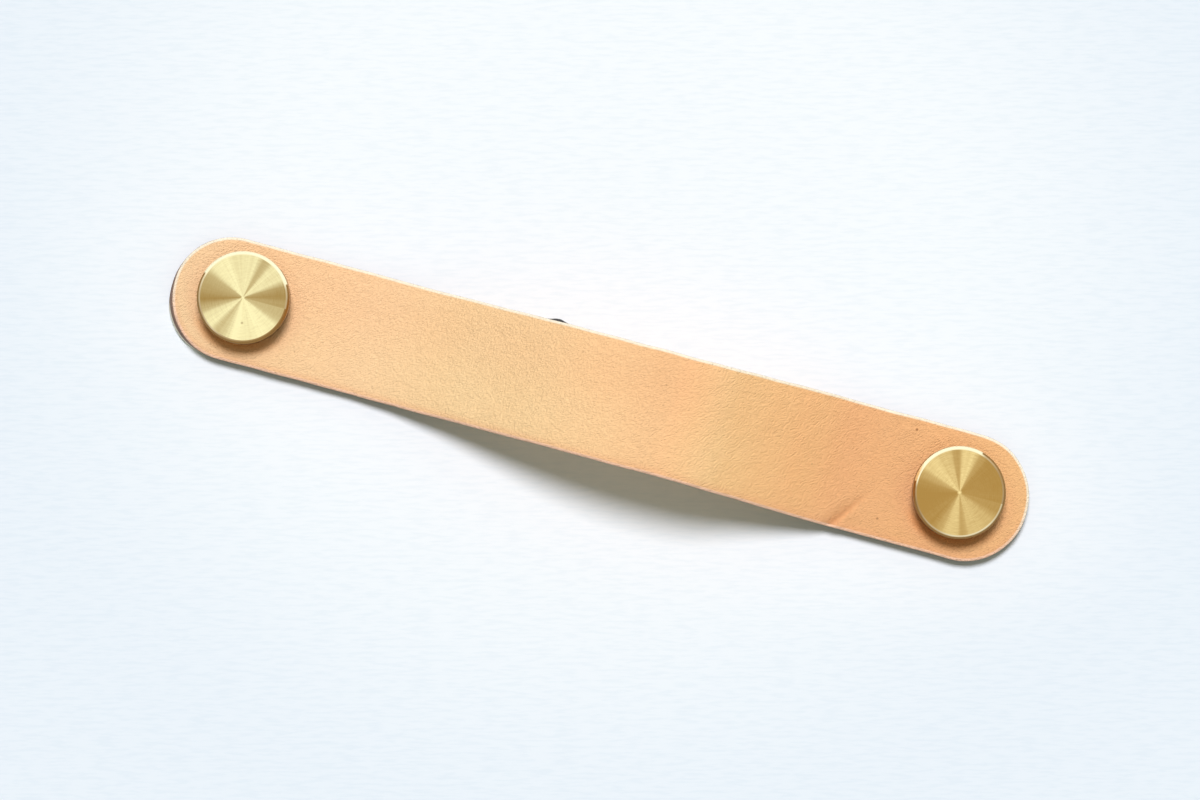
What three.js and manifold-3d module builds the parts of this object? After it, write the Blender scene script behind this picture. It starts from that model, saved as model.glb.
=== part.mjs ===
// Leather strap pull for a drawer or a cupboard door, in millimetres.
// z = 0 is the face of the furniture front and +Z points out of it. The origin is midway between
// the two screw holes, +X runs along the strap to the right knob, +Y to the strap's upper edge.
import * as THREE from "three";
import * as BufferGeometryUtils from "three/addons/utils/BufferGeometryUtils.js";
import Module from "manifold-3d";

// Fixing: two holes in the front, and M4 screws through it from behind
const holeSpacing = 128;
const frontThickness = 18;
const threadDiameter = 4;
const threadEngagement = 4;

// Strap, as cut and punched
const leatherThickness = 3;
const strapWidth = 22.3;
const narrowing = 0.95;
const widenFrom = 12;
const widenLength = 30;
const overhangLeft = 12.85;
const overhangRight = 12.4;
const leftCornerRadius = 10.4;
const rightCornerRadius = 10.9;
const edgeBevel = 0.4;
const punchClearance = 0.5;
const punchOffsetLeft = 0.65;
const punchOffsetRight = 0.35;

// Strap, as bent: the arch that the fingers go under, and the raised left tip
const archGap = 18;
const archPeak = 11;
const flatLeft = 11;
const flatRight = 7.5;
const archStartRadius = 45;
const archTopLeftRadius = 45;
const archTopRightRadius = 18;
const archEndRadius = 14;
const tipCurlRadius = 19;
const tipCurlMargin = 0.2;

// Knob
const knobDiameter = 16;
const knobRoof = 1;
const knobChamfer = 0.4;
const knobFootChamfer = 0.2;
const boreClearance = 0.3;
const boreSpareDepth = 0.5;

// Screw: pan head, cross recess
const screwTipChamfer = 0.5;
const headDiameter = 8;
const headHeight = 3.1;
const headCrown = 1.5;
const recessSpan = 4.4;
const recessWing = 1;
const recessDepth = 2.2;

// What follows from them
const leftHoleX = -holeSpacing / 2;
const rightHoleX = holeSpacing / 2;
const knobRadius = knobDiameter / 2;
const screwRadius = threadDiameter / 2;
const screwLength = frontThickness + leatherThickness + threadEngagement;
const boreDepth = threadEngagement + boreSpareDepth;
const knobHeight = boreDepth + knobRoof;
const leftTipX = leftHoleX - overhangLeft;
const rightTipX = rightHoleX + overhangRight;
const archStartX = leftHoleX + knobRadius + flatLeft;
const archEndX = rightHoleX - knobRadius - flatRight;
const widthLeft = strapWidth - narrowing;
const leftRadius = Math.min(leftCornerRadius, 0.49 * widthLeft);
const rightRadius = Math.min(rightCornerRadius, 0.49 * strapWidth);

// Fineness
const bendStep = 1.2;
const endSteps = 14;
const knobSegments = 72;
const screwSegments = 40;
const crownSteps = 5;
const punchSegments = 40;

const wasm = await Module();
wasm.setup();

const leather = new THREE.MeshStandardMaterial({ color: 0xf3c08c, roughness: 0.62, metalness: 0 });
const brass = new THREE.MeshStandardMaterial({ color: 0xd9c078, roughness: 0.32, metalness: 1 });
const steel = new THREE.MeshStandardMaterial({ color: 0xb9bdc2, roughness: 0.35, metalness: 1 });

// A three.js geometry as a solid that manifold-3d can cut.
function toSolid(geometry) {
  const bare = geometry.clone();
  bare.deleteAttribute("normal");
  bare.deleteAttribute("uv");
  const merged = BufferGeometryUtils.mergeVertices(bare, 1e-4);
  return new wasm.Manifold(
    new wasm.Mesh({
      numProp: 3,
      vertProperties: new Float32Array(merged.attributes.position.array),
      triVerts: new Uint32Array(merged.index.array),
    }),
  );
}

function toGeometry(solid) {
  const mesh = solid.getMesh();
  const geometry = new THREE.BufferGeometry();
  geometry.setAttribute("position", new THREE.BufferAttribute(mesh.vertProperties, 3));
  geometry.setIndex(new THREE.BufferAttribute(mesh.triVerts, 1));
  geometry.computeVertexNormals();
  return geometry;
}

// A LatheGeometry turned about Z, from a closed profile of [radius, z] that runs upwards outside.
function turned(profile, segments) {
  const points = profile.map(([r, z]) => new THREE.Vector2(r, z));
  return new THREE.LatheGeometry(points, segments).rotateX(Math.PI / 2);
}

// One flank of the arch: a base arc, a straight and a top arc, each tangent to the next, that climb
// `rise` over `run`. It gives the two arcs' radii, the straight's length and the angle it climbs at.
function flank(run, rise, baseRadius, topRadius) {
  const widest = (run * run + rise * rise) / (2 * rise);
  const fit = Math.min(1, widest / (baseRadius + topRadius));
  const base = baseRadius * fit;
  const top = topRadius * fit;
  const both = base + top;
  const straight = Math.sqrt(Math.max(0, run * run + rise * rise - 2 * both * rise));
  const angle = Math.atan2(run, both - rise) - Math.atan2(straight, both);
  return { base, top, straight, angle };
}

// The strap's middle surface seen from the side, as bends laid end to end: each has a length along
// the leather and the angle that it turns through, and the strap is flat where it turns through none.
function strapBends() {
  const left = flank(archPeak - archStartX, archGap, archStartRadius, archTopLeftRadius);
  const right = flank(archEndX - archPeak, archGap, archEndRadius, archTopRightRadius);
  const curlRun = Math.max(0, overhangLeft - knobRadius - tipCurlMargin);
  const curlAngle = Math.asin(curlRun / tipCurlRadius);
  return {
    startX: leftTipX,
    startZ: leatherThickness / 2 + tipCurlRadius * (1 - Math.cos(curlAngle)),
    startAngle: -curlAngle,
    bends: [
      { length: tipCurlRadius * curlAngle, turn: curlAngle },
      { length: archStartX - leftTipX - curlRun, turn: 0 },
      { length: left.base * left.angle, turn: left.angle },
      { length: left.straight, turn: 0 },
      { length: left.top * left.angle, turn: -left.angle },
      { length: right.top * right.angle, turn: -right.angle },
      { length: right.straight, turn: 0 },
      { length: right.base * right.angle, turn: right.angle },
      { length: rightTipX - archEndX, turn: 0 },
    ],
  };
}

// The point and the slope of the middle surface at the length s along the leather from the left tip.
function strapPlace(path, s) {
  let x = path.startX;
  let z = path.startZ;
  let angle = path.startAngle;
  let remaining = s;
  for (const [i, bend] of path.bends.entries()) {
    const last = i === path.bends.length - 1;
    const step = last ? remaining : Math.min(remaining, bend.length);
    const turn = bend.length > 0 ? (bend.turn * step) / bend.length : 0;
    const chord = Math.abs(turn) > 1e-9 ? (2 * step * Math.sin(turn / 2)) / turn : step;
    x += chord * Math.cos(angle + turn / 2);
    z += chord * Math.sin(angle + turn / 2);
    angle += turn;
    remaining -= step;
    if (remaining <= 0) break;
  }
  return { x, z, angle };
}

// The strap's cut outline at the length s: how far its two long edges lie from the line through the
// holes. inset draws it that much smaller all round, and x is where the place s lies along the pull.
function strapEdges(s, x, length, inset) {
  const widened = THREE.MathUtils.smoothstep(x, widenFrom, widenFrom + widenLength);
  const width = THREE.MathUtils.lerp(widthLeft, strapWidth, widened);
  const along = (x - leftHoleX) / holeSpacing;
  const offset = THREE.MathUtils.lerp(punchOffsetLeft, punchOffsetRight, along);
  const onLeft = s < length / 2;
  const fromEnd = (onLeft ? s : length - s) - inset;
  const half = width / 2 - inset;
  const radius = (onLeft ? leftRadius : rightRadius) - inset;
  const intoCorner = Math.max(0, radius - fromEnd);
  const cut = radius - Math.sqrt(Math.max(0, radius * radius - intoCorner * intoCorner));
  return { low: -offset - half + cut, high: -offset + half - cut };
}

// Stations along the leather, each as its length s on the outline and on the bevel's inner line:
// steps that crowd towards the tips, so that the rounded corners stay round, and even steps between.
function strapStations(path, length) {
  const corner = (i, radius) => {
    const share = 1 - Math.cos((i / endSteps) * (Math.PI / 2));
    return { outer: radius * share, inner: edgeBevel + (radius - edgeBevel) * share };
  };
  const stations = [];
  for (let i = 0; i < endSteps; i++) stations.push(corner(i, leftRadius));
  const joins = [leftRadius];
  let along = 0;
  for (const bend of path.bends) {
    along += bend.length;
    if (along > leftRadius && along < length - rightRadius) joins.push(along);
  }
  joins.push(length - rightRadius);
  for (let i = 0; i + 1 < joins.length; i++) {
    const steps = Math.max(1, Math.ceil((joins[i + 1] - joins[i]) / bendStep));
    for (let j = 0; j < steps; j++) {
      const s = THREE.MathUtils.lerp(joins[i], joins[i + 1], j / steps);
      stations.push({ outer: s, inner: s });
    }
  }
  for (let i = endSteps; i >= 0; i--) {
    const { outer, inner } = corner(i, rightRadius);
    stations.push({ outer: length - outer, inner: length - inner });
  }
  return stations;
}

// The strap as one closed mesh: at each station a ring of eight points goes round the leather, its
// four edges bevelled, and two end rings close it.
function strapGeometry() {
  const path = strapBends();
  const length = path.bends.reduce((sum, bend) => sum + bend.length, 0);
  const half = leatherThickness / 2;
  const rings = strapStations(path, length).map((station) => {
    const outerPlace = strapPlace(path, station.outer);
    const innerPlace = strapPlace(path, station.inner);
    const outer = strapEdges(station.outer, outerPlace.x, length, 0);
    const face = strapEdges(station.inner, innerPlace.x, length, edgeBevel);
    const point = (place, y, n) => [
      place.x - n * Math.sin(place.angle),
      y,
      place.z + n * Math.cos(place.angle),
    ];
    return [
      point(outerPlace, outer.low, edgeBevel - half),
      point(innerPlace, face.low, -half),
      point(innerPlace, face.high, -half),
      point(outerPlace, outer.high, edgeBevel - half),
      point(outerPlace, outer.high, half - edgeBevel),
      point(innerPlace, face.high, half),
      point(innerPlace, face.low, half),
      point(outerPlace, outer.low, half - edgeBevel),
    ];
  });
  const around = rings[0].length;
  const triangles = [];
  for (let i = 0; i + 1 < rings.length; i++) {
    for (let j = 0; j < around; j++) {
      const a = i * around + j;
      const b = i * around + ((j + 1) % around);
      triangles.push(a, b, a + around, b, b + around, a + around);
    }
  }
  const lastRing = (rings.length - 1) * around;
  for (let j = 1; j + 1 < around; j++) {
    triangles.push(0, j + 1, j);
    triangles.push(lastRing, lastRing + j, lastRing + j + 1);
  }
  const geometry = new THREE.BufferGeometry();
  const positions = new Float32Array(rings.flat(2));
  geometry.setAttribute("position", new THREE.BufferAttribute(positions, 3));
  geometry.setIndex(triangles);
  return geometry;
}

// The round punch that makes a screw hole at x, long enough to pass right through the leather.
function punch(x) {
  const radius = screwRadius + punchClearance;
  const cutter = new THREE.CylinderGeometry(radius, radius, 3 * leatherThickness, punchSegments);
  return toSolid(cutter.rotateX(Math.PI / 2).translate(x, 0, leatherThickness / 2));
}

function makeStrap() {
  const blank = toSolid(strapGeometry());
  const punched = blank.subtract(punch(leftHoleX)).subtract(punch(rightHoleX));
  const strap = new THREE.Mesh(toGeometry(punched), leather);
  strap.name = "leather_strap";
  return strap;
}

// A turned disc with a blind hole, tapped for the screw, in its foot. Its foot is at z = 0.
function makeKnob(name) {
  const boreRadius = screwRadius + boreClearance;
  const profile = [
    [0, boreDepth],
    [boreRadius, boreDepth],
    [boreRadius, 0],
    [knobRadius - knobFootChamfer, 0],
    [knobRadius, knobFootChamfer],
    [knobRadius, knobHeight - knobChamfer],
    [knobRadius - knobChamfer, knobHeight],
    [0, knobHeight],
  ];
  const knob = new THREE.Mesh(turned(profile, knobSegments), brass);
  knob.name = name;
  return knob;
}

// The screw stands on its head's bearing face, at z = 0, and its head hangs below.
function screwProfile() {
  const headRadius = headDiameter / 2;
  const profile = [];
  for (let i = 0; i <= crownSteps; i++) {
    const turn = (i / crownSteps) * (Math.PI / 2);
    const r = headRadius * Math.sin(turn);
    profile.push([r, -headHeight + headCrown * (1 - Math.cos(turn))]);
  }
  profile.push([headRadius, 0]);
  profile.push([screwRadius, 0]);
  profile.push([screwRadius, screwLength - screwTipChamfer]);
  profile.push([screwRadius - screwTipChamfer, screwLength]);
  profile.push([0, screwLength]);
  return profile;
}

function makeScrew(name) {
  const blank = toSolid(turned(screwProfile(), screwSegments));
  const wing = (sizeX, sizeY) =>
    toSolid(
      new THREE.BoxGeometry(sizeX, sizeY, 2 * recessDepth).translate(0, 0, -headHeight),
    );
  const cross = wing(recessSpan, recessWing).add(wing(recessWing, recessSpan));
  const screw = new THREE.Mesh(toGeometry(blank.subtract(cross)), steel);
  screw.name = name;
  return screw;
}

const pull = new THREE.Group();
pull.add(makeStrap());
for (const [side, x] of [
  ["left", leftHoleX],
  ["right", rightHoleX],
]) {
  const fixing = new THREE.Group();
  fixing.position.x = x;
  const knob = makeKnob(`${side}_knob`);
  knob.position.z = leatherThickness;
  const screw = makeScrew(`${side}_screw`);
  screw.position.z = -frontThickness;
  fixing.add(knob, screw);
  pull.add(fixing);
}

export default pull;
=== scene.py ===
import math

import bmesh
import bpy
import numpy as np
from mathutils import Matrix, Vector


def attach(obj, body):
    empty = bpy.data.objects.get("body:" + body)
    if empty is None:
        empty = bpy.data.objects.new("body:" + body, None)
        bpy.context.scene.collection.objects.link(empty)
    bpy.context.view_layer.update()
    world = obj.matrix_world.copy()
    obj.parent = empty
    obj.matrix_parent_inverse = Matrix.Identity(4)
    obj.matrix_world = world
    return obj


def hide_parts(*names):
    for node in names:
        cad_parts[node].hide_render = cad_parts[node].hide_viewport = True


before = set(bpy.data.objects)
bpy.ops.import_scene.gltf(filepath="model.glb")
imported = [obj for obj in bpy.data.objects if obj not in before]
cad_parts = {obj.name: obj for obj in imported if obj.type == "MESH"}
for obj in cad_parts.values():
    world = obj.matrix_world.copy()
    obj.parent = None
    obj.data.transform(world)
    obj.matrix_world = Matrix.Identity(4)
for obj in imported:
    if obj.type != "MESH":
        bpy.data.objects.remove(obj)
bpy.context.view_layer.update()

# Sizes in millimetres, the main ones as in the solids
MM = 0.001
HOLE_X = 64.0
LEATHER = 3.0
WIDTH_LEFT, WIDTH_RIGHT = 21.35, 22.3
WIDEN_FROM, WIDEN_LENGTH = 12.0, 30.0
OFFSET_LEFT, OFFSET_RIGHT = 0.65, 0.35
OVERHANG_LEFT, OVERHANG_RIGHT = 12.6, 12.4  # the left one leaves room for its edge's flare
CORNER_LEFT, CORNER_RIGHT = 10.4, 10.9
BEVEL = 0.45
PUNCH_RADIUS, PUNCH_FLARE = 2.5, 0.15
ARCH_GAP, ARCH_PEAK = 18.0, 11.0
ARCH_START, ARCH_END = -45.0, 48.5
ARCH_RADII = (45.0, 45.0, 18.0, 14.0)  # left base, left top, right top, right base
CURL_TURN = math.radians(180 + 30)
CURL_RADIUS, CURL_START = 19.0, 8.3
CREASE_FROM, CREASE_TO = np.array([43.4, -11.2]), np.array([49.2, -3.6])
MARK = (-10.75, 10.6)
KNOB_RADIUS, KNOB_HEIGHT = 8.0, 5.5
KNOB_CHAMFER, KNOB_FOOT, KNOB_ARRIS = 0.42, 0.2, 0.05
BORE_RADIUS, BORE_DEPTH = 2.3, 4.5
BORE_MOUTH, BORE_MOUTH_DEPTH = 0.25, 0.3
FRONT = 18.0
THREAD_RADIUS, THREAD_PITCH, THREAD_DEPTH = 2.0, 0.7, 0.38
THREAD_ENGAGEMENT, SHANK_FILLET, TIP_CHAMFER = 4.0, 0.1, 0.5
HEAD_RADIUS, HEAD_HEIGHT, HEAD_CROWN, HEAD_ROUND = 4.0, 3.058, 1.5, 0.12
RECESS_SPAN, RECESS_WING, RECESS_DEPTH = 4.4, 1.0, 2.0
RECESS_END_TAPER, RECESS_SIDE_TAPER = 0.9, 0.16
POLE = 0.0001  # radius of a closed pole

# The photograph's frame: the strap runs 15.22 degrees down to the right
PHOTO_TURN = math.radians(15.2246)
PHOTO_RIGHT = Vector((math.cos(PHOTO_TURN), math.sin(PHOTO_TURN), 0))
PHOTO_UP = Vector((-math.sin(PHOTO_TURN), math.cos(PHOTO_TURN), 0))


# Colour and node helpers

def colour(code):
    """A colour written as six hex digits, as the linear colour that Blender takes."""
    parts = [int(code[i:i + 2], 16) / 255 for i in (0, 2, 4)]
    linear = [c / 12.92 if c <= 0.04045 else ((c + 0.055) / 1.055) ** 2.4 for c in parts]
    return (*linear, 1.0)


def feed(tree, node, inputs):
    """Sets a node's inputs to values, or links them to sockets."""
    for name, value in inputs.items():
        if isinstance(value, bpy.types.NodeSocket):
            tree.links.new(value, node.inputs[name])
        else:
            node.inputs[name].default_value = value


def add(tree, kind, inputs=None, **settings):
    """One node in a tree, with its settings and its inputs."""
    made = tree.nodes.new(kind)
    for name, value in settings.items():
        setattr(made, name, value)
    feed(tree, made, inputs or {})
    return made


def placed(tree, group, inputs):
    """A node group put into a material, with its own values: its outputs."""
    return add(tree, "ShaderNodeGroup", inputs, node_tree=group).outputs


def math_of(tree, operation, *values, clamp=False):
    """The result of one Math node on values or sockets."""
    return add(tree, "ShaderNodeMath", dict(enumerate(values)),
               operation=operation, use_clamp=clamp).outputs[0]


def times(tree, first, second):
    """The product of two values or sockets."""
    return math_of(tree, "MULTIPLY", first, second)


def vector_of(tree, operation, inputs, result=0):
    """The result of one Vector Math node."""
    return add(tree, "ShaderNodeVectorMath", inputs, operation=operation).outputs[result]


def parts_of(tree, vector):
    """A vector's X, Y and Z."""
    return add(tree, "ShaderNodeSeparateXYZ", {"Vector": vector}).outputs


def step_of(tree, value, low, high):
    """0 below low, 1 above high, and smooth between; with low above high it runs the other way."""
    made = add(tree, "ShaderNodeMapRange", {"Value": value, "From Min": low, "From Max": high},
               interpolation_type="SMOOTHSTEP")
    return made.outputs["Result"]


def mixed(tree, factor, first, second, blend="MIX"):
    """Two colours mixed by a factor."""
    return add(tree, "ShaderNodeMix", {0: factor, 6: first, 7: second},
               data_type="RGBA", blend_type=blend).outputs[2]


def toned(tree, base, mask, strength, code):
    """A colour laid over a base where a mask is 1, as strongly as the strength says."""
    return mixed(tree, times(tree, mask, strength), base, colour(code))


def ramp_of(tree, value, stops):
    """A colour that runs smoothly through the given places and colours."""
    made = add(tree, "ShaderNodeValToRGB", {"Fac": value})
    ramp = made.color_ramp
    ramp.interpolation = "EASE"
    while len(ramp.elements) > 1:
        ramp.elements.remove(ramp.elements[-1])
    ramp.elements[0].position, ramp.elements[0].color = stops[0]
    for place, shade in stops[1:]:
        ramp.elements.new(place).color = shade
    return made.outputs["Color"]


def new_group(name, inputs, outputs):
    """An empty node group with named sockets, its input node and its output node."""
    tree = bpy.data.node_groups.new(name, "ShaderNodeTree")
    for label, kind, value in inputs:
        socket = tree.interface.new_socket(label, in_out="INPUT", socket_type="NodeSocket" + kind)
        if value is not None:
            socket.default_value = value
    for label, kind in outputs:
        tree.interface.new_socket(label, in_out="OUTPUT", socket_type="NodeSocket" + kind)
    return tree, tree.nodes.new("NodeGroupInput").outputs, tree.nodes.new("NodeGroupOutput").inputs


def new_material(name, diffuse):
    """A material with its Principled shader, ready for its nodes."""
    material = bpy.data.materials.new(name)
    material.use_nodes = True
    material.diffuse_color = colour(diffuse)
    tree = material.node_tree
    return material, tree, tree.nodes["Principled BSDF"]


def attribute(tree, name, output="Fac"):
    """A value or vector that the mesh carries at each point."""
    return add(tree, "ShaderNodeAttribute", attribute_name=name).outputs[output]


def object_mm(tree, centre=0.0):
    """The place on the object in millimetres, from an upright axis at x = centre."""
    place = add(tree, "ShaderNodeTexCoord").outputs["Object"]
    moved = vector_of(tree, "SUBTRACT", {0: place, 1: (centre * MM, 0.0, 0.0)})
    return vector_of(tree, "SCALE", {0: moved, "Scale": 1 / MM})


def surfaced(tree, shader, base, rough, heights, depth, strength=1.0):
    """Gives a shader its colour, its roughness and a bump of a depth in millimetres."""
    bump = add(tree, "ShaderNodeBump", {"Height": heights, "Distance": depth * MM,
                                        "Strength": strength}).outputs[0]
    feed(tree, shader, {"Base Color": base, "Roughness": rough, "Normal": bump})


# Shared effects

def noise_of(tree, vector, scale, detail, roughness, distortion=0.0):
    """The value of a noise."""
    return add(tree, "ShaderNodeTexNoise",
               {"Vector": vector, "Scale": scale, "Detail": detail, "Roughness": roughness,
                "Distortion": distortion}).outputs["Fac"]


def hypot_of(tree, first, second):
    """The root of the sum of two squares."""
    squares = math_of(tree, "ADD", math_of(tree, "POWER", first, 2.0),
                      math_of(tree, "POWER", second, 2.0))
    return math_of(tree, "SQRT", squares)


def make_mottle():
    """Slow patches between two colours: a noise widened about its middle by the contrast."""
    tree, given, out = new_group(
        "mottle",
        [("Vector", "Vector", None), ("Size", "Float", 10.0), ("Contrast", "Float", 1.0),
         ("First", "Color", None), ("Second", "Color", None)],
        [("Color", "Color"), ("Mask", "Float")])
    scale = math_of(tree, "DIVIDE", 1.0, given["Size"])
    slow = noise_of(tree, given["Vector"], scale, 3.0, 0.55)
    spread = times(tree, math_of(tree, "SUBTRACT", slow, 0.5), 2.4)
    mask = math_of(tree, "MULTIPLY_ADD", spread, given["Contrast"], 0.5, clamp=True)
    tree.links.new(mixed(tree, mask, given["First"], given["Second"]), out["Color"])
    tree.links.new(mask, out["Mask"])
    return tree


def make_pebble():
    """Fine rounded grain: cells with sunken borders, broken up by a noise, as a height from 0 to 1,
    and the pores that the noise's lowest places make."""
    tree, given, out = new_group(
        "pebble",
        [("Vector", "Vector", None), ("Size", "Float", 0.6), ("Breakup", "Float", 0.5)],
        [("Height", "Float"), ("Pores", "Float")])
    scale = math_of(tree, "DIVIDE", 1.0, given["Size"])
    warp = add(tree, "ShaderNodeTexNoise",
               {"Vector": given["Vector"], "Scale": times(tree, scale, 0.6), "Detail": 2.0})
    shifted = vector_of(tree, "ADD", {0: warp.outputs["Color"], 1: (-0.5, -0.5, -0.5)})
    scaled = vector_of(tree, "SCALE", {0: shifted, "Scale": given["Size"]})
    where = vector_of(tree, "ADD", {0: given["Vector"], 1: scaled})
    cells = add(tree, "ShaderNodeTexVoronoi", {"Vector": where, "Scale": scale, "Smoothness": 0.35},
                feature="SMOOTH_F1")
    domes = math_of(tree, "SUBTRACT", 1.0, cells.outputs["Distance"])
    fine = noise_of(tree, given["Vector"], times(tree, scale, 1.3), 3.0, 0.6, 0.8)
    both = add(tree, "ShaderNodeMix", {0: given["Breakup"], 2: domes, 3: fine}, data_type="FLOAT")
    tree.links.new(both.outputs[0], out["Height"])
    tree.links.new(step_of(tree, fine, 0.42, 0.3), out["Pores"])
    return tree


def make_fibres():
    """Drawn-out fibres: a noise squeezed along each axis by the stretch given for it."""
    tree, given, out = new_group(
        "fibres",
        [("Vector", "Vector", None), ("Stretch", "Vector", (1.0, 1.0, 1.0)),
         ("Size", "Float", 1.0)],
        [("Height", "Float"), ("Mask", "Float")])
    drawn = vector_of(tree, "MULTIPLY", {0: given["Vector"], 1: given["Stretch"]})
    scale = math_of(tree, "DIVIDE", 1.0, given["Size"])
    height = noise_of(tree, drawn, scale, 5.0, 0.65, 0.3)
    tree.links.new(height, out["Height"])
    tree.links.new(step_of(tree, height, 0.35, 0.65), out["Mask"])
    return tree


def make_speck():
    """One soft round spot at a place on the pattern, from 1 in its middle to 0 at its edge."""
    tree, given, out = new_group(
        "speck",
        [("Vector", "Vector", None), ("Centre", "Vector", (0.0, 0.0, 0.0)),
         ("Radius", "Float", 0.3)],
        [("Mask", "Float")])
    away = vector_of(tree, "DISTANCE", {0: given["Vector"], 1: given["Centre"]}, "Value")
    share = math_of(tree, "DIVIDE", away, given["Radius"])
    tree.links.new(step_of(tree, share, 1.0, 0.35), out["Mask"])
    return tree


def make_polar():
    """Where a point lies round an upright axis: its angle from 0 to 1, and its radius."""
    tree, given, out = new_group(
        "polar",
        [("Vector", "Vector", None)],
        [("Angle", "Float"), ("Radius", "Float")])
    parts = parts_of(tree, given["Vector"])
    angle = math_of(tree, "ARCTAN2", parts["Y"], parts["X"])
    turns = math_of(tree, "FRACT", math_of(tree, "DIVIDE", angle, 2 * math.pi))
    tree.links.new(turns, out["Angle"])
    tree.links.new(hypot_of(tree, parts["X"], parts["Y"]), out["Radius"])
    return tree


def make_turning():
    """What a lathe tool leaves on a face: broken rings of a given pitch, and fine rays from the
    middle. Both are noises of a place that goes once round a circle, so that they close."""
    tree, given, out = new_group(
        "turning",
        [("Angle", "Float", 0.0), ("Radius", "Float", 0.0), ("Pitch", "Float", 0.2)],
        [("Rings", "Float"), ("Rays", "Float")])
    turn = times(tree, given["Angle"], 2 * math.pi)
    cos, sin = math_of(tree, "COSINE", turn), math_of(tree, "SINE", turn)

    def noise_round(along, rate, detail):
        """A noise of one straight coordinate and of the angle."""
        where = add(tree, "ShaderNodeCombineXYZ",
                    {"X": along, "Y": times(tree, cos, rate), "Z": times(tree, sin, rate)})
        return noise_of(tree, where.outputs[0], 1.0, detail, 0.6)

    rings = noise_round(math_of(tree, "DIVIDE", given["Radius"], given["Pitch"]), 4.0, 2.0)
    rays = noise_round(times(tree, given["Radius"], 0.06), 13.0, 3.0)
    tree.links.new(rings, out["Rings"])
    tree.links.new(rays, out["Rays"])
    return tree


mottle, pebble, fibres = make_mottle(), make_pebble(), make_fibres()
speck, polar, turning = make_speck(), make_polar(), make_turning()


# Strap: its side view, its cut outline and its surface

def flank(run, rise, base, top):
    """A base arc, a straight and a top arc, tangent in turn, that climb rise over run: returns the
    straight's length and the angle it climbs at."""
    both = base + top
    straight = math.sqrt(run * run + rise * rise - 2 * both * rise)
    return straight, math.atan2(run, both - rise) - math.atan2(straight, both)


def arch_bends():
    """Each bend of the side view as its length along the leather and the angle it turns through,
    from the start of the arch."""
    base_left, top_left, top_right, base_right = ARCH_RADII
    slope_light, left = flank(ARCH_PEAK - ARCH_START, ARCH_GAP, base_left, top_left)
    drop, right = flank(ARCH_END - ARCH_PEAK, ARCH_GAP, base_right, top_right)
    return [(base_left * left, left), (slope_light, 0.0), (top_left * left, -left),
            (top_right * right, -right), (drop, 0.0), (base_right * right, right)]


BENDS = arch_bends()
EXTRA = sum(length for length, turn in BENDS) - (ARCH_END - ARCH_START)
LEFT_TIP = -HOLE_X - OVERHANG_LEFT
RIGHT_HOLE = HOLE_X + EXTRA
RIGHT_TIP = RIGHT_HOLE + OVERHANG_RIGHT


def side_view(u):
    """The middle surface seen from the side, at the length u along the leather, which equals x up to
    the arch. Each bend is an arc: from its start, a chord of its length times sinc of half its turn,
    along its middle direction. Returns x, z and the slope."""
    knots, rates, starts = [-1e3], [0.0], [(-1e3, LEATHER / 2, 0.0)]
    at, x, z, slope = ARCH_START, ARCH_START, LEATHER / 2, 0.0
    for length, turn in BENDS:
        knots.append(at)
        rates.append(turn / length)
        starts.append((x, z, slope))
        chord = length * np.sinc(turn / 2 / np.pi)
        x += chord * math.cos(slope + turn / 2)
        z += chord * math.sin(slope + turn / 2)
        at, slope = at + length, slope + turn
    knots.append(at)
    rates.append(0.0)
    starts.append((x, z, 0.0))
    starts = np.array(starts)
    which = np.searchsorted(knots, u, side="right") - 1
    run = u - np.array(knots)[which]
    turned = np.array(rates)[which] * run
    x0, z0, slope0 = np.moveaxis(starts[which], -1, 0)
    chord = run * np.sinc(turned / 2 / np.pi)
    return (x0 + chord * np.cos(slope0 + turned / 2), z0 + chord * np.sin(slope0 + turned / 2),
            slope0 + turned)


def smooth(value, low, high):
    """0 below low and 1 above high, with the curve 3t^2 - 2t^3 between."""
    t = np.clip((value - low) / (high - low), 0, 1)
    return t * t * (3 - 2 * t)


def cut_width(u):
    """The strap's width and how far its middle line lies below the holes' line, at the length u."""
    share = smooth(side_view(u)[0], WIDEN_FROM, WIDEN_FROM + WIDEN_LENGTH)
    along = (u + HOLE_X) / (RIGHT_HOLE + HOLE_X)
    return (WIDTH_LEFT + (WIDTH_RIGHT - WIDTH_LEFT) * share,
            OFFSET_LEFT + (OFFSET_RIGHT - OFFSET_LEFT) * along)


def cut_width_at(u):
    """The same two at one length, as plain numbers."""
    width, offset = cut_width(np.array([u]))
    return float(width[0]), float(offset[0])


def ripple(a, b, wave, seed):
    """A smooth random field of about one wavelength: the sum of twelve plane waves over the root of
    twelve, whose directions, lengths and phases come from the seed."""
    chance = np.random.default_rng(seed)
    total = np.zeros(np.broadcast(a, b).shape)
    for _ in range(12):
        turn, phase = chance.uniform(0, 2 * np.pi, 2)
        rate = 2 * np.pi / (wave * chance.uniform(0.75, 1.4))
        total += np.sin(rate * (a * np.cos(turn) + b * np.sin(turn)) + phase)
    return total / math.sqrt(12)


def from_edge(u, v):
    """How far inside the cut outline a point of the pattern lies: the distance inside a rounded
    rectangle as wide as the strap is there."""
    width, offset = cut_width(u)
    corner = np.where(u < 0, CORNER_LEFT, CORNER_RIGHT)
    across = np.abs(v + offset) - (width / 2 - corner)
    along = np.where(u < 0, LEFT_TIP + corner - u, u - (RIGHT_TIP - corner))
    outside = np.hypot(np.maximum(across, 0), np.maximum(along, 0))
    return corner - outside - np.minimum(np.maximum(across, along), 0)


def from_knobs(u, v):
    """The distance from the nearer screw hole, on the pattern."""
    return np.minimum(np.hypot(u + HOLE_X, v), np.hypot(u - RIGHT_HOLE, v))


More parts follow.
